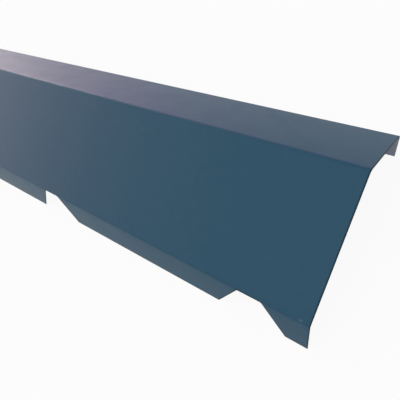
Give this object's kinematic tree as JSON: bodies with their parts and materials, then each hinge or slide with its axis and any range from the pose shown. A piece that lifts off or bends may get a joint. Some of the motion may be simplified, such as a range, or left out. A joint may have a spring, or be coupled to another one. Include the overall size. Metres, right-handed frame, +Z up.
{
  "type": "roof ridge cap",
  "caption": "Folded sheet-steel ridge cap with a ridge bend, a short tucked return at the back and a front lip notched to drop between the ribs of trapezoidal roof sheet.",
  "frame": {"origin": "on the floor, under the middle of the cap's bounding box as it lies at rest", "axes": "+X along the cap, -Y towards the notched lip, +Z up with the cap lying on the return's free edge and the lip's teeth"},
  "size_m": [2.1, 0.2486, 0.092],
  "materials": {
    "coated_steel": "satin slate-blue polyester coil coat on galvanised steel, with a grey backing coat inside and bare sheared edges"
  },
  "bodies": {
    "root": {"ridge_cap": "coated_steel"}
  },
  "joints": []
}
